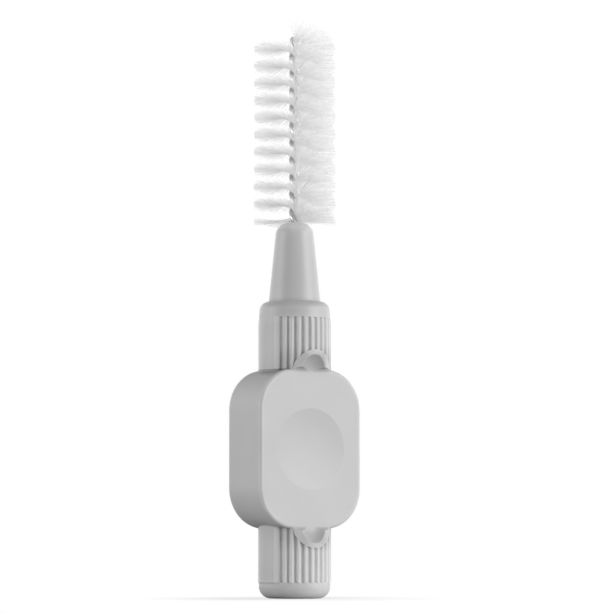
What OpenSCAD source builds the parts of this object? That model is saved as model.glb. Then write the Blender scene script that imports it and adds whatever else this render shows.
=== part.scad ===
// Interdental brush: a twisted wire brush held in the nose of a short ribbed handle
// with a flat thumb plate. Millimetres. +Z runs up the handle, the origin is the middle
// of the flat bottom end, and the thumb plate faces -Y.

/* [Handle barrel] */
// Diameter of the round barrel, across its ribs
barrel_d = 6.56; // [6:0.02:7.4]
// Length of the barrel below the thumb plate
lower_len = 6.26; // [5:0.02:12]
// Length of the barrel above the thumb plate
upper_len = 6.2; // [5:0.1:12]
// Height of the smooth band at the bottom end
band_h = 1.42; // [1.2:0.02:2.2]
// How far the ribs stand proud of the smooth band
band_step = 0.07; // [0.02:0.01:0.15]
// Radius of the rounded bottom edge
foot_round = 1.08; // [0.4:0.02:1.15]
// Radius of the rounded shoulder under the nose
shoulder_round = 0.85; // [0.4:0.05:1.2]
// How far the barrel's radius draws in below the shoulder
shoulder_draw = 0.1; // [0.02:0.01:0.2]
// Height over which it draws in
shoulder_draw_h = 1.25; // [0.5:0.05:2]

/* [Grip ribs] */
// Grooves cut between the ribs, on the front and again on the back
groove_count = 11; // [5:2:13]
// Angle from one groove to the next, in degrees
groove_step = 11.4; // [9:0.1:12]
// Width of a groove at its mouth
groove_w = 0.3; // [0.2:0.02:0.42]
// Width of a groove at its floor
groove_floor_w = 0.16; // [0.1:0.02:0.3]
// Depth of a groove
groove_depth = 0.18; // [0.14:0.02:0.4]
// Width that the eased edges of two ribs add on each side of a groove
rib_ease_w = 0.1; // [0.04:0.02:0.14]
// Depth to which a rib's edge is eased
rib_ease_depth = 0.08; // [0.04:0.02:0.12]
// Smooth height between the ribs' upper ends and the shoulder's top
rib_top_gap = 1.54; // [1:0.02:2.4]

/* [Thumb plate] */
// Width of the plate
plate_w = 11; // [9.6:0.1:14]
// Height of the plate
plate_h = 14.26; // [12:0.02:20]
// Thickness of the plate
plate_t = 5.16; // [4.4:0.02:5.6]
// Radius of the plate's four corners
plate_corner = 3.65; // [2:0.05:4.5]
// Radius of the rounded rim round each face
plate_rim = 0.25; // [0.15:0.05:0.8]
// Diameter of the shallow finger dish in each face
dish_d = 7.3; // [5:0.1:8.4]
// Depth of the finger dish
dish_depth = 0.25; // [0.1:0.05:0.5]
// Radius of the round scoop that runs the barrel's front into the plate
scoop_r = 2.2; // [1.9:0.05:2.8]
// Radius of the circle on the face, round the scoop's foot, at which the grooves end
lip_r = 2.05; // [1.9:0.05:2.8]
// How far inside the plate's edge the scoop meets the face
scoop_in = 0.3; // [0.2:0.05:0.8]
// Radius of the small cove where the barrel beside the scoop meets the face
cove_r = 0.45; // [0.3:0.05:0.8]

/* [Nose] */
// Diameter of the nose where it leaves the shoulder
nose_base_d = 4.68; // [4.2:0.02:5]
// Diameter of the same cone at the height of its tip
nose_tip_d = 3.22; // [2.8:0.02:3.8]
// Length of the nose
nose_len = 7.2; // [5:0.1:12]
// Radius of the rounded edge at the tip
nose_round = 1.2; // [0.4:0.05:1.3]
// Depth of the fine crease round the foot of the nose
crease_depth = 0.08; // [0.04:0.01:0.12]
// Room round the twisted wire in the nose
bore_clearance = 0.03; // [0.01:0.01:0.08]

/* [Twisted wire] */
// Diameter of the one wire that is folded in two and twisted
wire_d = 0.46; // [0.36:0.01:0.54]
// Gap between the two legs, where the filaments are gripped
grip_gap = 0.12; // [0.11:0.005:0.16]
// Length of wire held inside the nose
tail_len = 8; // [4:0.1:11]
// Height of half a turn of the twist
half_turn = 1.7; // [1.5:0.01:2.2]
// Length over which the twist runs out below the end loop
run_out = 0.3; // [0.2:0.05:0.8]
// Lean of the brush from the handle's axis, in degrees
lean_angle = 15; // [0:0.5:20]
// Direction of that lean, in degrees from the back of the plate towards +X
lean_turn = 35; // [-180:5:180]
// Radius of the bend where the wire leaves the nose
bend_r = 2.5; // [1.5:0.1:6]

/* [Filaments] */
// Diameter of the brush across its filament tips
head_d = 7.5; // [3:0.1:10]
// Thickness of one filament
filament_d = 0.075; // [0.05:0.005:0.08]
// Bare wire between the nose and the lowest filament
bare_len = 0.06; // [0.04:0.02:2]
// Filaments gripped in each half turn, each showing two ends
row_filaments = 18; // [10:2:18]
// Half turns filled with filaments, above which half a row follows
full_rows = 10; // [4:1:12]

/* [Hidden] */
row_count = full_rows + 1;
function row_name(row) = str("filament_row_", row < 10 ? "0" : "", row);

// One overrun for every cut
overrun = 1;
barrel_r = barrel_d / 2;
plate_top = lower_len + plate_h;
plate_mid = lower_len + plate_h / 2;
shoulder_z = plate_top + upper_len;
nose_tip_z = shoulder_z + nose_len;
rib_top = shoulder_z - rib_top_gap;
// The scoops and the coves bite this far past the face, inside the plate's own body
scoop_bite = 0.01;
// The lower barrel and the upper barrel both reach this far into the plate
barrel_root = plate_corner;

// The two legs stand this far from the brush's axis
leg_offset = (wire_d + grip_gap) / 2;
twist_r = leg_offset + wire_d / 2;
bore_r = twist_r + bore_clearance;
// The bore is this much deeper than the wire's tail
bore_floor_gap = 0.1;
filament_step = half_turn / row_filaments;
head_len = (full_rows + 1 / 2) * half_turn;
// The twist eases off evenly, half of its run-out among the highest filaments
twist_end = bare_len + head_len - run_out / 2;
loop_start = twist_end + run_out;
// The lowest filament lies across the direction of the lean
first_turn = -lean_turn;
// The gripped middle of each filament, as a share of the twist's radius
grip_share = 0.6;
grip_half_w = twist_r * grip_share;

// Sides of the wire, and rings in each full turn and round the end loop
wire_sides = 6;
rings_per_turn = 12;
loop_rings = 6;

// The bend, where the brush's own straight axis turns from the handle's
bend_len = bend_r * lean_angle * PI / 180;

// A point of the straight brush, [across, across, height above the nose], where it
// lies once the wire has been bent at the nose
function bend_angle(up) = bend_len > 0 ? lean_angle * min(max(up, 0), bend_len) / bend_len : 0;
function turned(p, a) = [p.x * cos(a) - p.y * sin(a), p.x * sin(a) + p.y * cos(a), p.z];
function bent(p) =
    let (
        q = turned(p, lean_turn - 90),
        a = bend_angle(p.z),
        past = max(p.z - bend_len, 0),
        under = min(p.z, 0),
        out = bend_r * (1 - cos(a)) + past * sin(a) + q.x * cos(a),
        up = bend_r * sin(a) + past * cos(a) + under - q.x * sin(a)
    )
    turned([out, q.y, nose_tip_z + up], 90 - lean_turn);

// Direction of the filaments at a height above the nose. The twist is left-handed.
function twist_at(up) =
    let (past = max(up - twist_end, 0))
    first_turn - 180 * (up - bare_len - past ^ 2 / (2 * run_out)) / half_turn;
function across(a) = [cos(a), sin(a), 0];

// Two triangles for the four corners of a face, clockwise as seen from outside
function quad(a, b, c, d) = [[a, b, c], [a, c, d]];

// The wire's route in the straight brush: up one leg, round the end loop, down the other
function leg_point(up, side) = leg_offset * across(twist_at(up) + side * 90) + [0, 0, up];
leg_steps = ceil((tail_len + loop_start) * rings_per_turn / (2 * half_turn));
leg_heights = [for (i = [0:leg_steps]) -tail_len + (tail_len + loop_start) * i / leg_steps];
loop_angles = [for (i = [1:loop_rings - 1]) 180 * i / loop_rings];
loop_side = across(twist_at(loop_start) + 90);
wire_route = concat(
    [for (up = leg_heights) leg_point(up, 1)],
    [for (a = loop_angles) leg_offset * (cos(a) * loop_side + [0, 0, sin(a)]) + [0, 0, loop_start]],
    [for (i = [leg_steps:-1:0]) leg_point(leg_heights[i], -1)]
);
// Away from the brush's axis, or from the loop's own centre
wire_outward = concat(
    [for (up = leg_heights) across(twist_at(up) + 90)],
    [for (a = loop_angles) cos(a) * loop_side + [0, 0, sin(a)]],
    [for (i = [leg_steps:-1:0]) across(twist_at(leg_heights[i]) - 90)]
);

// The least gap between the two legs, which the gripped filaments fill
up_leg = [for (up = leg_heights) leg_point(up, 1)];
down_leg = [for (up = leg_heights) leg_point(up, -1)];
least_leg_gap = min([for (p = up_leg) for (q = down_leg) norm(p - q)]) - wire_d;
echo(least_gap_between_the_wire_legs = least_leg_gap, grip_on_filaments = filament_d);

module half_disc_profile(r, low, high, low_round, high_round) {
    // The right half of a round body's outline, with its two outer corners rounded
    difference() {
        union() {
            translate([0, low + low_round]) square([r, high - low - low_round - high_round]);
            translate([0, low]) square([r - low_round, low_round + overrun]);
            translate([r - low_round, low + low_round]) circle(r = low_round, $fn = 64);
            translate([0, high - high_round - overrun]) square([r - high_round, high_round + overrun]);
            translate([r - high_round, high - high_round]) circle(r = high_round, $fn = 64);
        }
        translate([-barrel_d, low - overrun]) square([barrel_d, high - low + 2 * overrun]);
    }
}

// One groove's outline, lying across +X at the barrel's surface, with eased edges
module groove_outline() {
    ease_r = barrel_r - rib_ease_depth;
    half_w = groove_w / 2;
    polygon([
        [barrel_r - groove_depth, -groove_floor_w / 2],
        [ease_r, -half_w],
        [barrel_r, -half_w - rib_ease_w],
        [barrel_r + rib_ease_depth, -half_w - 2 * rib_ease_w],
        [barrel_r + rib_ease_depth, half_w + 2 * rib_ease_w],
        [barrel_r, half_w + rib_ease_w],
        [ease_r, half_w],
        [barrel_r - groove_depth, groove_floor_w / 2]
    ]);
}

module grooves(low, high) {
    last = groove_step * (groove_count - 1) / 2;
    for (face = [-90, 90])
        for (i = [0:groove_count - 1])
            translate([0, 0, low]) rotate([0, 0, face + groove_step * i - last])
                linear_extrude(height = high - low) groove_outline();
}

// The same grooves, ended round the scoops by a smooth lip
module ended_grooves(low, high) {
    difference() {
        grooves(low, high);
        for (end = [-1, 1])
            translate([0, 0, scoop_z(end)]) rotate([90, 0, 0])
                cylinder(r = lip_r, h = 2 * barrel_d, center = true, $fn = 96);
    }
}

// The foot of one scoop, where it touches the plate's face
function scoop_z(end) = plate_mid + end * (plate_h / 2 - scoop_in);
module scoop_place(side, end) {
    translate([0, side * plate_t / 2, scoop_z(end)]) children();
}

// A round channel across the barrel, whose floor touches the plate's face there
module cove(side) {
    translate([0, side * (cove_r - scoop_bite), 0]) {
        translate([-barrel_d, 0, 0]) rotate([0, 90, 0]) cylinder(r = cove_r, h = 2 * barrel_d, $fn = 64);
        translate([-barrel_d, (side - 1) * barrel_d / 2, -cove_r]) cube([2 * barrel_d, barrel_d, 2 * cove_r]);
    }
}

// A small notch in the shoulder, beside the foot of the nose
module crease_outline() {
    foot_r = nose_base_d / 2;
    polygon([
        [foot_r - crease_depth, overrun],
        [foot_r - crease_depth, -crease_depth],
        [foot_r, -crease_depth],
        [foot_r + crease_depth, 0],
        [foot_r + crease_depth, overrun]
    ]);
}

// Below the plate: a smooth rounded foot, then the ribbed barrel a small step wider
module lower_barrel() {
    foot_r = barrel_r - band_step;
    difference() {
        union() {
            rotate_extrude($fn = 96)
                half_disc_profile(foot_r, 0, lower_len + barrel_root, foot_round, foot_round);
            translate([0, 0, band_h]) cylinder(r = barrel_r, h = lower_len + barrel_root - band_h, $fn = 96);
        }
        ended_grooves(band_h, lower_len + barrel_root + overrun);
    }
}

// Above the plate: the ribbed barrel, drawn in a little under its rounded shoulder
module upper_barrel() {
    draw_z = shoulder_z - shoulder_round;
    drawn_r = barrel_r - shoulder_draw;
    low = plate_top - barrel_root;
    difference() {
        union() {
            translate([0, 0, low]) cylinder(r = barrel_r, h = draw_z - shoulder_draw_h - low, $fn = 96);
            translate([0, 0, draw_z - shoulder_draw_h])
                cylinder(r1 = barrel_r, r2 = drawn_r, h = shoulder_draw_h, $fn = 96);
            rotate_extrude($fn = 96)
                half_disc_profile(drawn_r, draw_z - overrun, shoulder_z, 0, shoulder_round);
        }
        ended_grooves(low - overrun, rib_top);
        translate([0, 0, shoulder_z]) rotate_extrude($fn = 96) crease_outline();
    }
}

// The tapered nose, whose side runs smoothly into its rounded tip
module nose() {
    taper = atan((nose_base_d - nose_tip_d) / 2 / nose_len);
    round_z = nose_len - nose_round;
    side_z = round_z + nose_round * sin(taper);
    side_r = nose_base_d / 2 - side_z * tan(taper);
    round_r = side_r - nose_round * cos(taper);
    translate([0, 0, shoulder_z]) rotate_extrude($fn = 96) intersection() {
        union() {
            polygon([
                [0, -shoulder_round],
                [nose_base_d / 2, -shoulder_round],
                [nose_base_d / 2, 0],
                [side_r, side_z],
                [round_r, nose_len],
                [0, nose_len]
            ]);
            translate([round_r, round_z]) circle(r = nose_round, $fn = 96);
        }
        translate([0, -shoulder_round]) square([nose_base_d, nose_len + shoulder_round + overrun]);
    }
}

// The barrel's front and back, cut flush with the plate, scooped and coved beside it
module face_cuts() {
    for (side = [-1, 1]) {
        translate([-barrel_d, side * (plate_t + barrel_d) / 2 - barrel_d / 2, lower_len + scoop_in])
            cube([2 * barrel_d, barrel_d, plate_h - 2 * scoop_in]);
        for (end = [-1, 1])
            scoop_place(side, end) {
                translate([0, side * (scoop_r - scoop_bite), 0]) sphere(r = scoop_r, $fn = 96);
                cove(side);
            }
    }
}

// The plate's half outline from its middle to its edge, with both rims rounded
module plate_edge_profile(reach) {
    square([reach - plate_rim, plate_t / 2]);
    square([reach, plate_t / 2 - plate_rim]);
    translate([reach - plate_rim, plate_t / 2 - plate_rim]) circle(r = plate_rim, $fn = 48);
}

module plate_edge(reach) {
    // Both halves of the thickness, the front one mirrored
    plate_edge_profile(reach);
    mirror([0, 1]) plate_edge_profile(reach);
}

module thumb_plate() {
    mid_w = plate_w - 2 * plate_corner;
    mid_h = plate_h - 2 * plate_corner;
    translate([0, 0, plate_mid]) rotate([90, 0, 0]) {
        translate([-mid_w / 2, -mid_h / 2, -plate_t / 2]) cube([mid_w, mid_h, plate_t]);
        for (turn = [0, 180]) rotate([0, 0, turn]) {
            // The two straight sides, then the straight ends
            translate([mid_w / 2, mid_h / 2, 0]) rotate([90, 0, 0])
                linear_extrude(height = mid_h) plate_edge(plate_corner);
            translate([-mid_w / 2, mid_h / 2, 0]) rotate([90, 0, 90])
                linear_extrude(height = mid_w) plate_edge(plate_corner);
            // Two of the four corners
            translate([mid_w / 2, mid_h / 2, 0])
                rotate_extrude(angle = 90, $fn = 96) plate_edge(plate_corner);
            translate([-mid_w / 2, mid_h / 2, 0]) rotate([0, 0, 90])
                rotate_extrude(angle = 90, $fn = 96) plate_edge(plate_corner);
        }
    }
}

// The shallow round dish for the finger, on both faces
module dishes() {
    ball_r = ((dish_d / 2) ^ 2 + dish_depth ^ 2) / (2 * dish_depth);
    for (side = [-1, 1])
        translate([0, side * (plate_t / 2 - dish_depth + ball_r), plate_mid]) sphere(r = ball_r, $fn = 200);
}

module handle() {
    color([0.8, 0.8, 0.81]) difference() {
        union() {
            difference() {
                union() {
                    lower_barrel();
                    upper_barrel();
                }
                face_cuts();
            }
            thumb_plate();
            nose();
        }
        dishes();
        // The blind bore that holds the wire's tail
        translate([0, 0, nose_tip_z - tail_len - bore_floor_gap])
            cylinder(r = bore_r, h = tail_len + bore_floor_gap + overrun, $fn = 64);
    }
}

// One unbroken tube: up, round the end loop and down
module wire() {
    last = len(wire_route) - 1;
    rings = [for (i = [0:last])
        let (
            run = wire_route[min(i + 1, last)] - wire_route[max(i - 1, 0)],
            along = run / norm(run),
            out = wire_outward[i],
            side = cross(along, out) / norm(cross(along, out))
        )
        [for (k = [0:wire_sides - 1])
            let (a = 360 * k / wire_sides)
            bent(wire_route[i] + wire_d / 2 * (cos(a) * out + sin(a) * side))]
    ];
    walls = [for (i = [0:last - 1]) for (k = [0:wire_sides - 1])
        let (a = i * wire_sides, b = a + wire_sides, next = (k + 1) % wire_sides)
        each quad(a + k, b + k, b + next, a + next)
    ];
    first_end = [for (k = [1:wire_sides - 2]) [0, k, k + 1]];
    base = last * wire_sides;
    last_end = [for (k = [1:wire_sides - 2]) [base, base + k + 1, base + k]];
    color([0.62, 0.63, 0.65])
        polyhedron(points = [for (ring = rings) each ring], faces = concat(walls, first_end, last_end));
}

// One filament's sixteen corners: its gripped middle, low then high, then its two tips
function filament_points(index) =
    let (
        up = bare_len + filament_step * (index + 1 / 2),
        along = across(twist_at(up)),
        out = across(twist_at(up) + 90) * filament_d / 2,
        low = [0, 0, up - filament_d / 2],
        high = [0, 0, up + filament_d / 2],
        g = grip_half_w * along,
        t = head_d / 2 * along
    )
    [
        g - out + low, g + out + low, -g + out + low, -g - out + low,
        g - out + high, g + out + high, -g + out + high, -g - out + high,
        t - out + low, t + out + low, t + out + high, t - out + high,
        -t + out + low, -t - out + low, -t - out + high, -t + out + high
    ];

// Corners of one filament in the point list, by their place in filament_points
corner_count = 16;
// The two filament ends: the four corners each grows from, then its four tip corners
ends = [[0, 1, 5, 4, 8], [2, 3, 7, 6, 12]];

function filament_faces(base) = [
    for (e = ends)
        for (k = [0:3])
            let (next = (k + 1) % 4)
            each quad(base + e[k], base + e[4] + k, base + e[4] + next, base + e[next]),
    for (e = ends)
        let (tip = base + e[4])
        each quad(tip + 3, tip + 2, tip + 1, tip),
    each quad(base + 1, base + 5, base + 6, base + 2),
    each quad(base + 3, base + 7, base + 4, base)
];

// The gripped middles of neighbouring filaments lie pressed into one band
function band_faces(base) = [
    for (k = [0:3])
        let (next = (k + 1) % 4, above = base + corner_count)
        each quad(base + 4 + k, above + k, above + next, base + 4 + next)
];

// The filaments of one half turn, pressed together where the wire grips them
module filament_row(row) {
    count = row <= full_rows ? row_filaments : row_filaments / 2;
    start = (row - 1) * row_filaments;
    top = (count - 1) * corner_count + 4;
    color([0.96, 0.96, 0.96])
        polyhedron(
            points = [for (i = [0:count - 1]) for (p = filament_points(start + i)) bent(p)],
            faces = concat(
                quad(0, 1, 2, 3),
                [for (i = [0:count - 1]) each filament_faces(i * corner_count)],
                [for (i = [0:count - 2]) each band_faces(i * corner_count)],
                quad(top + 3, top + 2, top + 1, top)
            )
        );
}

handle();
wire();
for (row = [1:row_count])
    filament_row(row);
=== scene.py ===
import math

import bpy
from mathutils import Matrix, Vector


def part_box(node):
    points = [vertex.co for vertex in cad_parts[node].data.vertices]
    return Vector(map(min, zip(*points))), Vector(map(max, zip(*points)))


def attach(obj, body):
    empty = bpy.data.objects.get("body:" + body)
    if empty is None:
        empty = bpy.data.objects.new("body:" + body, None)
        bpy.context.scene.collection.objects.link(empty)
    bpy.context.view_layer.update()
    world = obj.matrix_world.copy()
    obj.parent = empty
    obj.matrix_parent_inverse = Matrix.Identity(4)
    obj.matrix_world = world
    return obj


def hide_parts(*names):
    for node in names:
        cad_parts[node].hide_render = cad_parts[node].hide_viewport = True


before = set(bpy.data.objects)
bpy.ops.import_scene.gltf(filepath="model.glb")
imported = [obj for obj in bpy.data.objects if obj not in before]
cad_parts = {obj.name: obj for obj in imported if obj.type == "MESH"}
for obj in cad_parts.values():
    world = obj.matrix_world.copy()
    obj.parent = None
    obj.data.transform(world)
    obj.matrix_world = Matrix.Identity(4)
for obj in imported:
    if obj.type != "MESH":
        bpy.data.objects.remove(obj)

bl_info = {
    "name": "Interdental Brush",
    "version": (1, 0, 0),
    "blender": (4, 5, 0),
    "location": "View3D > Sidebar > Brush",
    "description": "Dresses an interdental brush: moulded handle, twisted wire and nylon filaments",
    "category": "Object",
}

MM = 0.001
BODY = "root"
ROWS = sorted(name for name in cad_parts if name.startswith("filament_row_"))
HANDLE_LOW, HANDLE_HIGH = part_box("handle")
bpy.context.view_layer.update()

# Heights on the handle at which the painted shade and painted highlights change.
PLATE_ENDS = (6.0 * MM, 20.8 * MM)
SCOOPS = (5.4 * MM, 21.2 * MM)
NOSE_FOOT = 26.55 * MM
PLATE_SHOULDER = 17.2 * MM
PLATE_TOP = 20.5 * MM
# Middle and half length of the ribbed stretch of each barrel.
RIBBED = ((3.84 * MM, 2.42 * MM), (22.85 * MM, 2.33 * MM))
# Where the last rib on each side lies, which gets a painted highlight: |x| / |y|, as a middle and a
# half width.
LAST_RIB = (2.2, 0.46)

# Sides of the swept wire, and sides and points of a swept filament.
WIRE_SIDES = 14
STRAND_SIDES = 3
STRAND_POINTS = 3
# The shortest filament's share of the full length, and the share of them in the loose foot.
SHORTEST = 0.978
FOOT_SHARE = 0.03

WHITE = (1, 1, 1, 1)
SHADE_SAMPLES = 12
EDGE_SAMPLES = 8
# Distance of every light from the middle of the handle.
LIGHT_DISTANCE = 0.5


class Net:
    """A node tree that is written down as calls: one method adds any node."""

    def __init__(self, tree):
        self.tree = tree
        tree.nodes.clear()

    def add(self, kind, settings=(), **values):
        """Adds a node. Its settings come first, then its sockets by name, with _ for a space."""
        node = self.tree.nodes.new(kind)
        for name, value in dict(settings).items():
            setattr(node, name, value)
        for name, value in values.items():
            self.put(node, name.replace("_", " "), value)
        return node

    def put(self, node, name, value):
        """Sets or links one socket of a node, by its name or its place."""
        if isinstance(name, int):
            socket = node.inputs[name]
        else:
            socket = next(s for s in node.inputs if s.name == name and s.enabled)
        if isinstance(value, Flow):
            self.tree.links.new(value.socket, socket)
        elif isinstance(value, bpy.types.NodeSocket):
            self.tree.links.new(value, socket)
        else:
            socket.default_value = value

    def flow(self, node, output=0):
        """One output of a node, ready for arithmetic."""
        return Flow(self, node.outputs[output])

    def axes(self, vector):
        """The three numbers of a vector."""
        parts = self.add("ShaderNodeSeparateXYZ", Vector=vector)
        return [self.flow(parts, i) for i in range(3)]

    def ease(self, value, start, end, first=0.0, last=1.0):
        """A number that goes smoothly from first to last while the value goes from start to end."""
        node = self.add(
            "ShaderNodeMapRange", {"interpolation_type": "SMOOTHSTEP"},
            Value=value, From_Min=start, From_Max=end, To_Min=first, To_Max=last,
        )
        return self.flow(node)

    def mix(self, factor, first, second):
        """A colour between two others. Its sockets go by place, as several share a name."""
        node = self.tree.nodes.new("ShaderNodeMix")
        node.data_type = "RGBA"
        self.put(node, 0, factor)
        self.put(node, 6, first)
        self.put(node, 7, second)
        return node.outputs[2]


class Flow:
    """A socket's number, on which arithmetic adds Math nodes."""

    def __init__(self, net, socket):
        self.net = net
        self.socket = socket

    def math(self, operation, *others):
        node = self.net.tree.nodes.new("ShaderNodeMath")
        node.operation = operation
        for place, value in enumerate(others):
            self.net.put(node, place, value)
        return self.net.flow(node)

    def __add__(self, other):
        return self.math("ADD", self, other)

    def __radd__(self, other):
        return self.math("ADD", other, self)

    def __sub__(self, other):
        return self.math("SUBTRACT", self, other)

    def __rsub__(self, other):
        return self.math("SUBTRACT", other, self)

    def __mul__(self, other):
        return self.math("MULTIPLY", self, other)

    def __rmul__(self, other):
        return self.math("MULTIPLY", other, self)

    def __truediv__(self, other):
        return self.math("DIVIDE", self, other)

    def __pow__(self, other):
        return self.math("POWER", self, other)

    def __mod__(self, other):
        return self.math("MODULO", self, other)

    def floor(self):
        return self.math("FLOOR", self)

    def low(self, other):
        return self.math("MINIMUM", self, other)

    def high(self, other):
        return self.math("MAXIMUM", self, other)

    def size(self):
        return self.math("ABSOLUTE", self)

    def sine(self):
        return self.math("SINE", self)

    def cosine(self):
        return self.math("COSINE", self)


def new_material(name):
    """An empty node material with its output, and the net that fills it."""
    material = bpy.data.materials.new(name)
    material.use_nodes = True
    net = Net(material.node_tree)
    out = net.add("ShaderNodeOutputMaterial")
    return material, net, out


def own_place(net):
    """A point's place in the piece's own coordinates."""
    return net.add("ShaderNodeTexCoord").outputs["Object"]


def object_noise(net, scale, detail=2.0, roughness=0.5):
    """Noise over the piece's own coordinates, with its scale in cells a millimetre."""
    node = net.add(
        "ShaderNodeTexNoise",
        Vector=own_place(net), Scale=scale / MM, Detail=detail, Roughness=roughness,
    )
    return net.flow(node)


def times(colour, share):
    """A colour made lighter or darker, as a colour socket takes it."""
    return [min(1, v * share) for v in colour] + [1]


def around(noise, spread):
    """A noise's distance from its middle value, over that spread."""
    return spread * (noise - 0.5)


def near(place, level, flat, fall):
    """1 within flat of a level; beyond that it falls to 0."""
    away = (place - level).size()
    return 1.0 - ((away - flat) / fall).high(0.0).low(1.0)


def sum_of(flows):
    """The sum of several flows."""
    total, *others = flows
    for other in others:
        total = total + other
    return total


def mixed_shader(net, share, first, second):
    """Two shaders in one, with that share of the second."""
    both = net.add("ShaderNodeMixShader")
    net.put(both, 0, share)
    net.put(both, 1, first.outputs[0])
    net.put(both, 2, second.outputs[0])
    return both


def enclosure(net, reach, inside):
    """How much of the way round a point is blocked within reach, outside the solid or inside it."""
    settings = {"inside": inside, "samples": SHADE_SAMPLES}
    node = net.add("ShaderNodeAmbientOcclusion", settings, Distance=reach)
    return ((1.0 - net.flow(node, 1)) * 2.0).low(1.0)


def painted_highlights(net, settings, ends, place):
    """Painted highlight on the plastic: its edges painted paler, and the last rib on each side painted
    paler too.
    """
    side, front, height = place
    less_at_ends = 0.7
    # Painted highlight along the edges, with less of it at the plate's ends.
    rim = enclosure(net, settings.rim_reach, True) * settings.painted_rim_highlight * (1.0 - less_at_ends * ends)
    ribbed = sum_of(near(height, middle, flat=half, fall=0.1 * MM) for middle, half in RIBBED)
    middle, half = LAST_RIB
    # Painted highlight on the last rib on each side.
    last_rib = near(side.size() / front.size(), middle, flat=half, fall=0.1) * ribbed
    return rim.high(settings.painted_rib_highlight * last_rib)


def painted_shade(net, settings, ends, place):
    """Painted shade on the plastic: corners, scoops, the foot of the nose and the plate's shoulders."""
    side, front, height = place
    corner = enclosure(net, settings.corner_reach, False) * ends * settings.corner_shade
    middle = near(side, 0.0, flat=1.1 * MM, fall=0.5 * MM)
    scoops = middle * sum_of(near(height, level, flat=0.5 * MM, fall=0.6 * MM) for level in SCOOPS)
    foot = 1.2 * near(height, NOSE_FOOT, flat=0.1 * MM, fall=0.4 * MM)
    rise = ((height - PLATE_SHOULDER) / (PLATE_TOP - PLATE_SHOULDER)).high(0.0) ** 2.0
    on_plate = near(height, PLATE_TOP - 2.0 * MM, flat=2.0 * MM, fall=0.05 * MM)
    off_face = near(front, 0.0, flat=2.2 * MM, fall=0.15 * MM)
    shoulders = rise * on_plate * off_face
    return (corner + (scoops + foot) * settings.hollow_shade + shoulders * settings.top_shade).low(1.0)


def moulded_plastic(settings):
    """Satin polypropylene: soft edges, a fine spark-eroded grain, faint clouds, painted shade in
    corners and hollows, painted highlights on edges.
    """
    material, net, out = new_material("moulded_grey_plastic")
    clouds = object_noise(net, scale=0.35, detail=3.0)
    grain = object_noise(net, scale=14.0, detail=3.0, roughness=0.6)
    ripple = object_noise(net, scale=1.1)
    base = Vector(settings.colour)
    shade = net.add(
        "ShaderNodeBsdfPrincipled",
        IOR=1.49,
        Subsurface_Weight=settings.glow,
        Subsurface_Radius=(1, 1, 1),
        Subsurface_Scale=settings.glow_depth,
    )
    place = net.axes(own_place(net))
    # Near the plate's ends the painted corner shade is strongest and the painted edge highlight
    # weakest.
    ends = sum_of(near(place[2], level, flat=0.7 * MM, fall=1.2 * MM) for level in PLATE_ENDS)
    # The pale colour that the painted highlights mix towards.
    whiteness = 0.7
    pale = [v + whiteness * (1 - v) for v in base] + [1]
    tone = net.mix(clouds, times(base, 0.965), times(base, 1.035))
    # Painted highlight: edges and last ribs mixed towards the pale colour.
    tone = net.mix(painted_highlights(net, settings, ends, place), tone, pale)
    # Painted shade: corners, scoops, nose foot and shoulders mixed towards a darker colour.
    tone = net.mix(painted_shade(net, settings, ends, place), tone, times(base, 0.3))
    net.put(shade, "Base Color", tone)
    net.put(shade, "Roughness", settings.roughness + around(grain, 0.1) + around(ripple, 0.06))
    soft = net.add("ShaderNodeBevel", {"samples": EDGE_SAMPLES}, Radius=settings.edge)
    bump = net.add("ShaderNodeBump", Strength=settings.grain_strength, Distance=settings.grain_depth)
    net.put(bump, "Height", grain + 2.0 * ripple)
    net.put(bump, "Normal", soft.outputs[0])
    net.put(shade, "Normal", bump.outputs[0])
    net.put(out, "Surface", shade.outputs[0])
    return material


def drawn_wire(settings, end_height):
    """Drawn stainless wire: fine streaks and a few duller patches, and a rougher end loop painted
    brighter as painted light.
    """
    material, net, out = new_material("drawn_stainless_wire")
    streaks = object_noise(net, scale=9.0, detail=4.0, roughness=0.7)
    patches = object_noise(net, scale=0.8)
    base = Vector(settings.colour)
    shade = net.add("ShaderNodeBsdfPrincipled", Metallic=1.0)
    tone = net.mix(patches, times(base, 0.85), times(base, 1))
    fade = 0.4 * MM
    loop = net.ease(net.axes(own_place(net))[2], end_height - fade, end_height)
    # Painted light: the end loop's steel painted brighter in place of light from above.
    painted_loop_light_colour = (0.93, 0.93, 0.93, 1)
    duller_loop = 0.35
    net.put(shade, "Base Color", net.mix(loop, tone, painted_loop_light_colour))
    net.put(shade, "Roughness", settings.roughness + around(streaks, 0.14) + duller_loop * loop)
    bump = net.add("ShaderNodeBump", Strength=0.25, Distance=0.01 * MM, Height=streaks)
    net.put(shade, "Normal", bump.outputs[0])
    net.put(out, "Surface", shade.outputs[0])
    return material


def clear_nylon(settings):
    """Milky nylon: light passes through it, each filament differs a little, and a painted glow stands
    in for light scattered through the bundle, dimmer beside the wire.
    """
    material, net, out = new_material("milky_nylon_filament")
    each = net.flow(net.add("ShaderNodeAttribute", {"attribute_name": "filament_tone"}), 2)
    out_share = net.flow(net.add("ShaderNodeAttribute", {"attribute_name": "filament_out"}), 2)
    base = Vector(settings.colour)
    tone = net.mix(each, times(base, 0.93), times(base, 1))
    # Painted glow: emission in place of light scattered through the bundle, painted dimmer beside the
    # wire as painted shade.
    body = net.add("ShaderNodeBsdfPrincipled", IOR=1.53, Emission_Strength=settings.painted_inner_glow)
    net.put(body, "Emission Color", net.mix(out_share, times(base, settings.painted_glow_by_wire), WHITE))
    net.put(body, "Base Color", tone)
    smoothest, spread = 0.28, 0.12
    net.put(body, "Roughness", smoothest + spread * each)
    glow = net.add("ShaderNodeBsdfTranslucent", Color=tone)
    clear = net.add("ShaderNodeBsdfTransparent", Color=WHITE)
    milky = mixed_shader(net, settings.milkiness, body, glow)
    both = mixed_shader(net, settings.clearness + settings.tip_clearness * out_share, milky, clear)
    net.put(out, "Surface", both.outputs[0])
    return material


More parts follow.
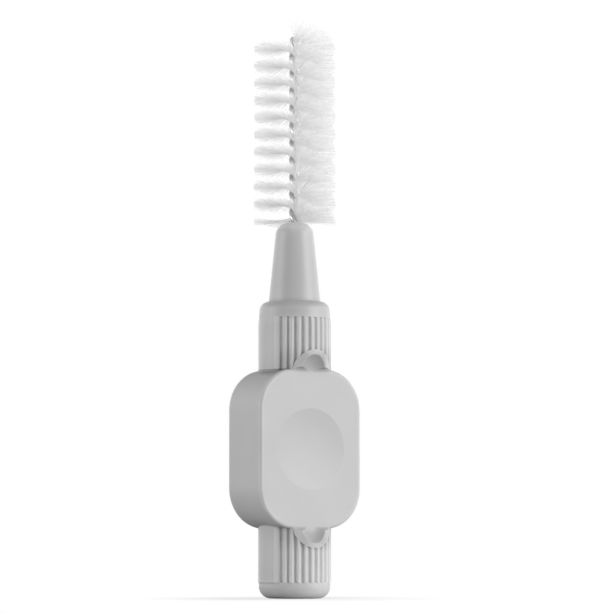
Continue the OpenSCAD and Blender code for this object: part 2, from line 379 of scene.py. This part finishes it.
class HandleFinish(bpy.types.PropertyGroup):
    """The moulded handle's plastic."""

    colour: bpy.props.FloatVectorProperty(
        name="Colour", description="Colour of the plastic", subtype="COLOR", size=3,
        default=(0.64, 0.64, 0.645), min=0, max=1,
    )
    roughness: bpy.props.FloatProperty(
        name="Roughness", description="How matt the plastic is", default=0.42, min=0.1, max=1,
    )
    edge: bpy.props.FloatProperty(
        name="Edge softness", description="Radius to which the moulded edges look rounded",
        default=0.13 * MM, min=0, max=0.5 * MM, unit="LENGTH", precision=5,
    )
    grain_depth: bpy.props.FloatProperty(
        name="Grain depth", description="Depth of the mould's fine grain",
        default=0.006 * MM, min=0, max=0.05 * MM, unit="LENGTH", precision=6,
    )
    grain_strength: bpy.props.FloatProperty(
        name="Grain strength", description="How strongly the grain shows", default=0.35, min=0, max=1,
    )
    # Painted highlight: edges painted paler in place of light through thin plastic.
    painted_rim_highlight: bpy.props.FloatProperty(
        name="Rim light",
        description="How much paler the plastic looks where its edges let light through",
        default=0.9, min=0, max=1,
    )
    # Painted highlight: the last rib on each side painted paler.
    painted_rib_highlight: bpy.props.FloatProperty(
        name="Last rib light",
        description="How much paler the plastic looks beside the last groove on each side",
        default=0.45, min=0, max=1,
    )
    rim_reach: bpy.props.FloatProperty(
        name="Rim reach", description="How far from an edge the plastic looks paler",
        default=0.4 * MM, min=0, max=2 * MM, unit="LENGTH", precision=5,
    )
    # Painted shade: corners, hollows and the plate's shoulders painted darker.
    corner_shade: bpy.props.FloatProperty(
        name="Corner shade",
        description="How much darker the plastic looks in the corners at the plate's ends",
        default=0.45, min=0, max=1,
    )
    hollow_shade: bpy.props.FloatProperty(
        name="Hollow shade",
        description="How much darker the plastic looks in its scoops and under the nose",
        default=0.21, min=0, max=1,
    )
    top_shade: bpy.props.FloatProperty(
        name="Top shade", description="How much darker the plastic looks on the plate's shoulders",
        default=0.58, min=0, max=1,
    )
    corner_reach: bpy.props.FloatProperty(
        name="Corner reach", description="How far out of a corner the plastic looks darker",
        default=3 * MM, min=0, max=6 * MM, unit="LENGTH", precision=5,
    )
    glow: bpy.props.FloatProperty(
        name="Glow", description="Share of light that scatters inside the plastic",
        default=0.25, min=0, max=1,
    )
    glow_depth: bpy.props.FloatProperty(
        name="Glow depth", description="How far light scatters inside the plastic",
        default=0.5 * MM, min=0, max=3 * MM, unit="LENGTH", precision=5,
    )


class WireShape(bpy.types.PropertyGroup):
    """The one wire, folded in two and twisted, and the way it leans."""

    diameter: bpy.props.FloatProperty(
        name="Diameter", description="Diameter of the wire", default=0.46 * MM, min=0.1 * MM,
        max=1 * MM, unit="LENGTH", precision=5,
    )
    gap: bpy.props.FloatProperty(
        name="Gap", description="Gap between the wire's two legs", default=0.12 * MM, min=0,
        max=0.5 * MM, unit="LENGTH", precision=5,
    )
    half_turn: bpy.props.FloatProperty(
        name="Half turn", description="Height of half a turn of the twist", default=1.7 * MM,
        min=1 * MM, max=3 * MM, unit="LENGTH", precision=5,
    )
    tail: bpy.props.FloatProperty(
        name="Tail", description="Length of wire held inside the nose", default=8 * MM,
        min=2 * MM, max=11 * MM, unit="LENGTH", precision=5,
    )
    run_out: bpy.props.FloatProperty(
        name="Run out", description="Length over which the twist runs out", default=0.3 * MM,
        min=0.2 * MM, max=1 * MM, unit="LENGTH", precision=5,
    )
    loop_drop: bpy.props.FloatProperty(
        name="Loop drop", description="How far the end loop sits down between the topmost filaments",
        default=0.28 * MM, min=0, max=0.5 * MM, unit="LENGTH", precision=5,
    )
    lean: bpy.props.FloatProperty(
        name="Lean", description="Lean of the brush from the handle's axis",
        default=math.radians(15), min=0, max=math.radians(20), subtype="ANGLE",
    )
    lean_turn: bpy.props.FloatProperty(
        name="Lean direction",
        description="Direction of the lean, from the plate's back to its +X side",
        default=math.radians(35), subtype="ANGLE",
    )
    bend: bpy.props.FloatProperty(
        name="Bend radius", description="Radius of the bend at the nose", default=2.5 * MM,
        min=1 * MM, max=6 * MM, unit="LENGTH", precision=5,
    )
    colour: bpy.props.FloatVectorProperty(
        name="Colour", description="Colour of the steel", subtype="COLOR", size=3,
        default=(0.64, 0.645, 0.65), min=0, max=1,
    )
    roughness: bpy.props.FloatProperty(
        name="Roughness", description="How dull the steel is", default=0.27, min=0.05, max=1,
    )


class FilamentShape(bpy.types.PropertyGroup):
    """The nylon filaments that the wire grips."""

    tip_diameter: bpy.props.FloatProperty(
        name="Brush diameter", description="Diameter across the filament tips", default=7.5 * MM,
        min=2 * MM, max=12 * MM, unit="LENGTH", precision=5,
    )
    thickness: bpy.props.FloatProperty(
        name="Thickness", description="Thickness of one filament", default=0.026 * MM,
        min=0.02 * MM, max=0.2 * MM, unit="LENGTH", precision=6,
    )
    per_half_turn: bpy.props.IntProperty(
        name="Filaments", description="Filaments gripped in each half turn",
        default=560, min=8, max=600,
    )
    half_turns: bpy.props.FloatProperty(
        name="Half turns", description="Half turns filled with filaments", default=10.5, min=1, max=14,
    )
    bare: bpy.props.FloatProperty(
        name="Bare wire", description="Wire between the nose and the lowest filament",
        default=0.06 * MM, min=0, max=3 * MM, unit="LENGTH", precision=5,
    )
    splay: bpy.props.FloatProperty(
        name="Splay", description="How far a filament may tilt from its place",
        default=math.radians(2.2), min=0, max=math.radians(10), subtype="ANGLE",
    )
    fan: bpy.props.FloatProperty(
        name="Fan",
        description="How far a filament may turn round the wire from its place in the twist",
        default=math.radians(11), min=0, max=math.radians(30), subtype="ANGLE",
    )
    loose_foot: bpy.props.FloatProperty(
        name="Loose foot", description="How many times more the lowest filaments tilt",
        default=0.8, min=0, max=6,
    )
    crown: bpy.props.FloatProperty(
        name="Crown", description="Half turns at the top over which the filaments rise round the loop",
        default=0.4, min=0.1, max=2,
    )
    crown_lift: bpy.props.FloatProperty(
        name="Crown lift", description="How far the topmost filaments tilt up",
        default=math.radians(7), min=0, max=math.radians(40), subtype="ANGLE",
    )
    bow: bpy.props.FloatProperty(
        name="Bow", description="How far a filament's tip may bend away", default=0.16 * MM,
        min=0, max=1 * MM, unit="LENGTH", precision=5,
    )
    seed: bpy.props.IntProperty(
        name="Seed", description="Seed of the filaments' differences", default=7, min=0,
    )
    milkiness: bpy.props.FloatProperty(
        name="Milkiness", description="Share of the light a filament scatters onwards through itself",
        default=0.5, min=0, max=1,
    )
    # Painted glow: emission in place of scattered light, painted dimmer beside the wire.
    painted_inner_glow: bpy.props.FloatProperty(
        name="Inner light", description="Light that has scattered through the bundle of filaments",
        default=0.47, min=0, max=2,
    )
    painted_glow_by_wire: bpy.props.FloatProperty(
        name="Light at the wire", description="Share of that light that is left beside the wire",
        default=0.455, min=0, max=1,
    )
    clearness: bpy.props.FloatProperty(
        name="Clearness", description="Share of light that passes straight through a filament",
        default=0.52, min=0, max=1,
    )
    tip_clearness: bpy.props.FloatProperty(
        name="Clearer tips", description="How much more light passes straight through at the tips",
        default=0.16, min=0, max=1,
    )
    colour: bpy.props.FloatVectorProperty(
        name="Colour", description="Colour of the nylon", subtype="COLOR", size=3,
        default=(0.97, 0.97, 0.97), min=0, max=1,
    )


class StudioStage(bpy.types.PropertyGroup):
    """The floor, the lights and the camera."""

    azimuth: bpy.props.FloatProperty(
        name="Azimuth", description="Direction of the camera round the brush",
        default=math.radians(-35), subtype="ANGLE",
    )
    distance: bpy.props.FloatProperty(
        name="Distance", description="Distance of the camera from the handle's axis",
        default=0.3, min=0.05, max=5, unit="LENGTH",
    )
    camera_height: bpy.props.FloatProperty(
        name="Camera height", description="Height of the camera above the floor",
        default=5 * MM, unit="LENGTH", precision=5,
    )
    pixel: bpy.props.FloatProperty(
        name="Pixel", description="Real size that one pixel of the picture covers at the handle",
        default=0.09 * MM, unit="LENGTH", precision=6,
    )
    key: bpy.props.FloatProperty(
        name="Key light", description="Power of the light at the front right", default=1.0, min=0,
    )
    fill: bpy.props.FloatProperty(
        name="Fill light", description="Power of the light at the left", default=1.0, min=0,
    )
    front: bpy.props.FloatProperty(
        name="Front light", description="Power of the light above the camera", default=1.0, min=0,
    )
    ambient: bpy.props.FloatProperty(
        name="Ambient", description="Strength of the even light from all round", default=0.48, min=0,
    )
    backdrop: bpy.props.FloatProperty(
        name="Backdrop", description="Strength of the white backdrop's light behind the brush",
        default=1.1, min=0,
    )


def across(angle):
    return Vector((math.cos(angle), math.sin(angle), 0))


def bent_point(point, wire):
    """Where a point of the straight brush lies once the wire is bent at the nose."""
    turn = wire.lean_turn - math.pi / 2
    local = Matrix.Rotation(turn, 4, "Z") @ point
    along = wire.bend * wire.lean
    angle = min(max(local.z, 0), along) / wire.bend
    past = max(local.z - along, 0)
    sine, cosine = math.sin(angle), math.cos(angle)
    out = wire.bend * (1 - cosine) + past * sine + local.x * cosine
    up = wire.bend * sine + past * cosine + min(local.z, 0) - local.x * sine
    return Matrix.Rotation(-turn, 4, "Z") @ Vector((out, local.y, up + HANDLE_HIGH.z))


def bent_field(net, place, wire):
    """The same bend as bent_point, worked out by nodes for every point of a geometry."""
    turn = wire.lean_turn - math.pi / 2
    local = net.add("ShaderNodeVectorRotate", {"rotation_type": "Z_AXIS"}, Vector=place, Angle=turn)
    x, y, z = net.axes(local.outputs[0])
    along = wire.bend * wire.lean
    angle = z.high(0.0).low(along) / wire.bend
    past = (z - along).high(0.0)
    sine, cosine = angle.sine(), angle.cosine()
    out = wire.bend * (1.0 - cosine) + past * sine + x * cosine
    up = wire.bend * sine + past * cosine + z.low(0.0) - x * sine + HANDLE_HIGH.z
    bent = net.add("ShaderNodeCombineXYZ", X=out, Y=y, Z=up)
    back = net.add(
        "ShaderNodeVectorRotate", {"rotation_type": "Z_AXIS"}, Vector=bent.outputs[0], Angle=-turn,
    )
    return back.outputs[0]


def twist_at(up, wire, filaments):
    """Direction of the filaments at a height above the nose, in a left-handed twist."""
    top = filaments.bare + filaments.half_turns * wire.half_turn - wire.run_out / 2
    past = max(up - top, 0)
    turned = up - filaments.bare - past ** 2 / (2 * wire.run_out)
    return -wire.lean_turn - math.pi * turned / wire.half_turn


def loop_height(wire, filaments):
    """Height above the nose, along the straight wire, at which the end loop starts."""
    return filaments.bare + filaments.half_turns * wire.half_turn + wire.run_out / 2 - wire.loop_drop


def wire_path(wire, filaments):
    """Points along the wire: up one leg, round the end loop and down the other."""
    offset = (wire.diameter + wire.gap) / 2
    loop = loop_height(wire, filaments)
    steps = 420
    heights = [-wire.tail + (loop + wire.tail) * i / steps for i in range(steps + 1)]

    def leg(up, side):
        return across(twist_at(up, wire, filaments) + side) * offset + Vector((0, 0, up))

    side = across(twist_at(loop, wire, filaments) + math.pi / 2)
    turns = 16
    bow = []
    for i in range(1, turns):
        angle = math.pi * i / turns
        round_loop = math.cos(angle) * side + math.sin(angle) * Vector((0, 0, 1))
        bow.append(offset * round_loop + Vector((0, 0, loop)))
    up_leg = [leg(up, math.pi / 2) for up in heights]
    down_leg = [leg(up, -math.pi / 2) for up in reversed(heights)]
    return [bent_point(p, wire) for p in up_leg + bow + down_leg]


def group_tree(name, inputs):
    """A geometry node group with named inputs, as its net, its inputs' flows and identifiers."""
    tree = bpy.data.node_groups.new(name, "GeometryNodeTree")
    tree.interface.new_socket("Geometry", in_out="INPUT", socket_type="NodeSocketGeometry")
    tree.interface.new_socket("Geometry", in_out="OUTPUT", socket_type="NodeSocketGeometry")
    identifiers = {}
    for label, kind in inputs:
        socket = tree.interface.new_socket(label, in_out="INPUT", socket_type=kind)
        identifiers[label] = socket.identifier
    net = Net(tree)
    source = net.add("NodeGroupInput")
    flows = {label: Flow(net, source.outputs[label]) for label, _ in inputs}
    return net, source.outputs["Geometry"], flows, identifiers


def finish_tree(net, geometry, material):
    """Ends a tree: real geometry, smooth faces, its material."""
    real = net.add("GeometryNodeRealizeInstances", Geometry=geometry)
    smooth = net.add("GeometryNodeSetShadeSmooth", Geometry=real.outputs[0])
    dressed = net.add("GeometryNodeSetMaterial", Geometry=smooth.outputs[0], Material=material)
    net.put(net.add("NodeGroupOutput"), "Geometry", dressed.outputs[0])


def grow(name, data, net, identifiers, values):
    """Runs a tree on an object's data and keeps the result as a plain mesh piece."""
    seed = bpy.data.objects.new(name + "_guide", data)
    bpy.context.scene.collection.objects.link(seed)
    modifier = seed.modifiers.new("grow", "NODES")
    modifier.node_group = net.tree
    for label, value in values.items():
        modifier[identifiers[label]] = value
    bpy.context.view_layer.update()
    evaluated = seed.evaluated_get(bpy.context.evaluated_depsgraph_get())
    mesh = bpy.data.meshes.new_from_object(evaluated)
    mesh.name = name
    seed.modifiers.remove(modifier)
    bpy.data.objects.remove(seed)
    piece = bpy.data.objects.new(name, mesh)
    bpy.context.scene.collection.objects.link(piece)
    return piece


def wire_tree(material):
    """Sweeps a round wire along a path."""
    net, path, flows, identifiers = group_tree("sweep_wire", [
        ("Wire radius", "NodeSocketFloat"),
        ("Sides", "NodeSocketInt"),
    ])
    ring = net.add(
        "GeometryNodeCurvePrimitiveCircle", Resolution=flows["Sides"], Radius=flows["Wire radius"],
    )
    tube = net.add("GeometryNodeCurveToMesh", Curve=path, Profile_Curve=ring.outputs[0], Fill_Caps=True)
    finish_tree(net, tube.outputs[0], material)
    return net, identifiers


def filament_tree(material, wire):
    """Sets filament ends along the twist, each with its own small tilt, bow and tone."""
    net, _, flows, identifiers = group_tree("set_filaments", [
        ("Filament ends", "NodeSocketInt"),
        ("First height", "NodeSocketFloat"),
        ("Height step", "NodeSocketFloat"),
        ("First angle", "NodeSocketFloat"),
        ("Angle step", "NodeSocketFloat"),
        ("Length", "NodeSocketFloat"),
        ("Filament radius", "NodeSocketFloat"),
        ("Splay", "NodeSocketFloat"),
        ("Fan", "NodeSocketFloat"),
        ("Loose foot", "NodeSocketFloat"),
        ("Crown start", "NodeSocketFloat"),
        ("Crown lift", "NodeSocketFloat"),
        ("Bow", "NodeSocketFloat"),
        ("Seed", "NodeSocketInt"),
    ])

    def chance(draw, low, high):
        node = net.add("FunctionNodeRandomValue", {"data_type": "FLOAT"}, Min=low, Max=high)
        net.put(node, "Seed", flows["Seed"] + draw)
        return net.flow(node, 1)

    index = net.flow(net.add("GeometryNodeInputIndex"))
    pair = (index / 2.0).floor()
    end = index % 2.0
    angle = flows["First angle"] - flows["Angle step"] * pair + math.pi * end

    place = net.add("ShaderNodeCombineXYZ", Z=flows["First height"] + flows["Height step"] * pair)
    points = net.add("GeometryNodeMeshLine", Count=flows["Filament ends"])
    set_points = net.add(
        "GeometryNodeSetPosition", Geometry=points.outputs[0], Position=place.outputs[0],
    )

    tip = net.add("ShaderNodeCombineXYZ", X=flows["Length"])
    line = net.add("GeometryNodeCurvePrimitiveLine", End=tip.outputs[0])
    stretch = net.add("GeometryNodeResampleCurve", Curve=line.outputs[0], Count=STRAND_POINTS)
    ring = net.add(
        "GeometryNodeCurvePrimitiveCircle", Resolution=STRAND_SIDES, Radius=flows["Filament radius"],
    )
    strand = net.add(
        "GeometryNodeCurveToMesh",
        Curve=stretch.outputs[0], Profile_Curve=ring.outputs[0], Fill_Caps=True,
    )
    share = 2.0 * pair / flows["Filament ends"]
    crown = (share - flows["Crown start"]).high(0.0) / (1.0 - flows["Crown start"])
    loose = 1.0 + flows["Loose foot"] * (1.0 - share / FOOT_SHARE).high(0.0)
    turn = net.add(
        "ShaderNodeCombineXYZ",
        Y=chance(1, -1.0, 1.0) * flows["Splay"] * loose - crown * flows["Crown lift"],
        Z=angle + chance(2, -1.0, 1.0) * flows["Fan"],
    )
    size = net.add("ShaderNodeCombineXYZ", X=chance(3, SHORTEST, 1.0), Y=1.0, Z=1.0)
    strands = net.add(
        "GeometryNodeInstanceOnPoints", Points=set_points.outputs[0], Instance=strand.outputs[0],
        Rotation=turn.outputs[0], Scale=size.outputs[0],
    )
    tagged = strands.outputs[0]
    for label, draw, low in (("filament_tone", 4, 0.0), ("filament_bow", 5, -1.0)):
        store = net.add(
            "GeometryNodeStoreNamedAttribute", {"data_type": "FLOAT", "domain": "INSTANCE"},
            Geometry=tagged, Name=label, Value=chance(draw, low, 1.0),
        )
        tagged = store.outputs[0]
    real = net.add("GeometryNodeRealizeInstances", Geometry=tagged)

    x, y, _ = net.axes(net.add("GeometryNodeInputPosition").outputs[0])
    out = (x ** 2.0 + y ** 2.0) / (flows["Length"] ** 2.0)
    own = net.add("GeometryNodeInputNamedAttribute", {"data_type": "FLOAT"}, Name="filament_bow")
    shift = net.add("ShaderNodeCombineXYZ", Z=net.flow(own) * flows["Bow"] * out)
    reach = net.add(
        "GeometryNodeStoreNamedAttribute", {"data_type": "FLOAT", "domain": "POINT"},
        Geometry=real.outputs[0], Name="filament_out", Value=out,
    )
    bowed = net.add("GeometryNodeSetPosition", Geometry=reach.outputs[0], Offset=shift.outputs[0])
    bent_place = bent_field(net, net.add("GeometryNodeInputPosition").outputs[0], wire)
    bent = net.add("GeometryNodeSetPosition", Geometry=bowed.outputs[0], Position=bent_place)
    finish_tree(net, bent.outputs[0], material)
    return net, identifiers


class BRUSH_OT_finish_handle(bpy.types.Operator):
    """Gives the moulded handle its satin plastic"""

    bl_idname = "brush.finish_handle"
    bl_label = "Finish Handle"

    def execute(self, context):
        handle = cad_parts["handle"]
        handle.data.materials.clear()
        handle.data.materials.append(moulded_plastic(context.scene.brush_handle))
        return {"FINISHED"}


class BRUSH_OT_twist_wire(bpy.types.Operator):
    """Twists the folded wire and sets it in the nose"""

    bl_idname = "brush.twist_wire"
    bl_label = "Twist Wire"

    def execute(self, context):
        wire = context.scene.brush_wire
        path = wire_path(wire, context.scene.brush_filaments)
        curve = bpy.data.curves.new("wire_path", "CURVE")
        curve.dimensions = "3D"
        spline = curve.splines.new("POLY")
        spline.points.add(len(path) - 1)
        for point, spot in zip(spline.points, path):
            point.co = (*spot, 1)
        end = bent_point(Vector((0, 0, loop_height(wire, context.scene.brush_filaments))), wire)
        net, identifiers = wire_tree(drawn_wire(wire, end.z))
        piece = grow("twisted_wire", curve, net, identifiers, {
            "Wire radius": wire.diameter / 2,
            "Sides": WIRE_SIDES,
        })
        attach(piece, BODY)
        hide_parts("wire")
        return {"FINISHED"}


class BRUSH_OT_set_filaments(bpy.types.Operator):
    """Sets the nylon filaments between the wire's legs"""

    bl_idname = "brush.set_filaments"
    bl_label = "Set Filaments"

    def execute(self, context):
        wire = context.scene.brush_wire
        shape = context.scene.brush_filaments
        step = wire.half_turn / shape.per_half_turn
        net, identifiers = filament_tree(clear_nylon(shape), wire)
        piece = grow("nylon_filaments", bpy.data.meshes.new("filament_guide"), net, identifiers, {
            "Filament ends": 2 * round(shape.per_half_turn * shape.half_turns),
            "First height": shape.bare + step / 2,
            "Height step": step,
            "First angle": twist_at(shape.bare + step / 2, wire, shape),
            "Angle step": math.pi / shape.per_half_turn,
            "Length": shape.tip_diameter / 2,
            "Filament radius": shape.thickness / 2,
            "Splay": shape.splay,
            "Fan": shape.fan,
            "Loose foot": shape.loose_foot,
            "Crown start": 1 - shape.crown / shape.half_turns,
            "Crown lift": shape.crown_lift,
            "Bow": shape.bow,
            "Seed": shape.seed,
        })
        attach(piece, BODY)
        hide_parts(*ROWS)
        return {"FINISHED"}


def soft_light(name, direction, size, power):
    """A rectangular area light, aimed at the middle of the handle."""
    lamp = bpy.data.lights.new(name, "AREA")
    lamp.shape = "RECTANGLE"
    lamp.size, lamp.size_y = size
    lamp.energy = power
    light = bpy.data.objects.new(name, lamp)
    middle = (HANDLE_LOW + HANDLE_HIGH) / 2
    light.location = middle + direction.normalized() * LIGHT_DISTANCE
    light.rotation_euler = direction.to_track_quat("Z", "Y").to_euler()
    bpy.context.scene.collection.objects.link(light)


def dot_product(net, vector, direction):
    """How far a vector reaches in a direction."""
    node = net.add("ShaderNodeVectorMath", {"operation": "DOT_PRODUCT"})
    net.put(node, 0, vector)
    net.put(node, 1, direction)
    return net.flow(node, 1)


def white_world(ambient, backdrop, behind):
    """White to the camera, an even soft light on the brush and a brighter one from behind it."""
    world = bpy.data.worlds.new("studio")
    bpy.context.scene.world = world
    world.use_nodes = True
    net = Net(world.node_tree)
    rays = net.add("ShaderNodeLightPath")
    seen = Flow(net, rays.outputs["Is Camera Ray"]).high(Flow(net, rays.outputs["Is Transmission Ray"]))
    ray = net.add("ShaderNodeTexCoord").outputs["Generated"]
    height = net.axes(ray)[2]
    darker_overhead = 0.85
    band = 1 - darker_overhead * height.size()
    rear = net.ease(dot_product(net, ray, behind), start=0.0, end=0.7, last=backdrop)
    level = seen + (1 - seen) * (ambient + rear) * band
    back = net.add("ShaderNodeBackground", Color=WHITE, Strength=level)
    net.put(net.add("ShaderNodeOutputWorld"), "Surface", back.outputs[0])


def floor_finish(bright_side):
    """A white studio floor: it keeps the brush's shadow and throws light up on its bright side."""
    material, net, out = new_material("studio_floor")
    dull = net.add("ShaderNodeBsdfDiffuse", Color=(0.3, 0.3, 0.3, 1))
    bright = net.add("ShaderNodeBsdfDiffuse", Color=(0.95, 0.95, 0.95, 1))
    shine = net.add("ShaderNodeEmission", Color=WHITE, Strength=1.0)
    rays = net.add("ShaderNodeLightPath")
    spot = own_place(net)
    x, y, _ = net.axes(spot)
    reach = (x ** 2.0 + y ** 2.0) ** 0.5
    bright_half = net.ease(dot_product(net, spot, bright_side), start=-2 * MM, end=6 * MM)
    round_foot = net.ease(reach, start=8 * MM, end=26 * MM, first=1.0, last=0.0)
    paint = mixed_shader(net, bright_half * round_foot, dull, bright)
    clean = net.ease(reach, start=3 * MM, end=16 * MM, first=0.75)
    both = mixed_shader(net, Flow(net, rays.outputs["Is Camera Ray"]) * clean, paint, shine)
    net.put(out, "Surface", both.outputs[0])
    return material


class BRUSH_OT_set_stage(bpy.types.Operator):
    """Sets the floor, the lights and the camera"""

    bl_idname = "brush.set_stage"
    bl_label = "Set Stage"

    def execute(self, context):
        stage = context.scene.brush_stage
        scene = context.scene
        mesh = bpy.data.meshes.new("floor")
        half_width = 0.5
        level = -0.02 * MM
        signs = [(-1, -1), (1, -1), (1, 1), (-1, 1)]
        corners = [(half_width * x, half_width * y, level) for x, y in signs]
        mesh.from_pydata(corners, [], [(0, 1, 2, 3)])
        floor = bpy.data.objects.new("floor", mesh)
        scene.collection.objects.link(floor)
        a = stage.azimuth
        towards = Vector((math.sin(a), -math.cos(a), 0))
        right = Vector((math.cos(a), math.sin(a), 0))
        up = Vector((0, 0, 1))
        floor.data.materials.append(floor_finish((0.8 * right + 0.6 * towards).normalized()))

        for name, direction, size, power in (
            ("key", 0.93 * right + 0.37 * towards + 0.12 * up, (0.34, 0.4), 2.3 * stage.key),
            ("fill", -1.0 * right + 0.22 * towards + 0.06 * up, (0.25, 0.4), 1.45 * stage.fill),
            ("front", 1.0 * towards + 0.2 * up, (0.4, 0.3), 0.2 * stage.front),
        ):
            soft_light(name, direction, size, power)
        white_world(stage.ambient, stage.backdrop, -towards)

        view_width, view_height = 597, 613
        axis_column, foot_row = 294.6, 598.8
        aim = right * (view_width / 2 - axis_column) * stage.pixel
        aim += up * (foot_row - view_height / 2) * stage.pixel
        spot = towards * stage.distance + up * stage.camera_height
        data = bpy.data.cameras.new("camera")
        camera = bpy.data.objects.new("camera", data)
        scene.collection.objects.link(camera)
        camera.location = spot
        camera.rotation_euler = (aim - spot).to_track_quat("-Z", "Y").to_euler()
        data.sensor_width = 36
        # A little wider than the exact lens, which brings the sizes to the photo's.
        fitted = 0.995
        data.lens = fitted * data.sensor_width * (aim - spot).length / (view_height * stage.pixel)
        data.clip_start = 1 * MM
        data.clip_end = 10
        scene.camera = camera
        scene.view_settings.view_transform = "Standard"
        return {"FINISHED"}


class BRUSH_PT_panel(bpy.types.Panel):
    """Lists the brush's pieces and their settings"""

    bl_label = "Interdental Brush"
    bl_idname = "BRUSH_PT_panel"
    bl_space_type = "VIEW_3D"
    bl_region_type = "UI"
    bl_category = "Brush"

    def draw(self, context):
        scene = context.scene
        for operator, settings in STEPS:
            box = self.layout.box()
            box.operator(operator.bl_idname)
            group = getattr(scene, settings)
            for name in group.bl_rna.properties.keys():
                if name not in ("rna_type", "name"):
                    box.prop(group, name)


SETTINGS = {
    "brush_handle": HandleFinish,
    "brush_wire": WireShape,
    "brush_filaments": FilamentShape,
    "brush_stage": StudioStage,
}
STEPS = [
    (BRUSH_OT_finish_handle, "brush_handle"),
    (BRUSH_OT_twist_wire, "brush_wire"),
    (BRUSH_OT_set_filaments, "brush_filaments"),
    (BRUSH_OT_set_stage, "brush_stage"),
]
CLASSES = [*SETTINGS.values(), *[operator for operator, _ in STEPS], BRUSH_PT_panel]


def register():
    for cls in CLASSES:
        bpy.utils.register_class(cls)
    for name, group in SETTINGS.items():
        setattr(bpy.types.Scene, name, bpy.props.PointerProperty(type=group))


def unregister():
    for name in SETTINGS:
        delattr(bpy.types.Scene, name)
    for cls in reversed(CLASSES):
        bpy.utils.unregister_class(cls)


def main():
    register()
    bpy.ops.brush.finish_handle()
    bpy.ops.brush.twist_wire()
    bpy.ops.brush.set_filaments()
    bpy.ops.brush.set_stage()


if __name__ == "__main__":
    main()
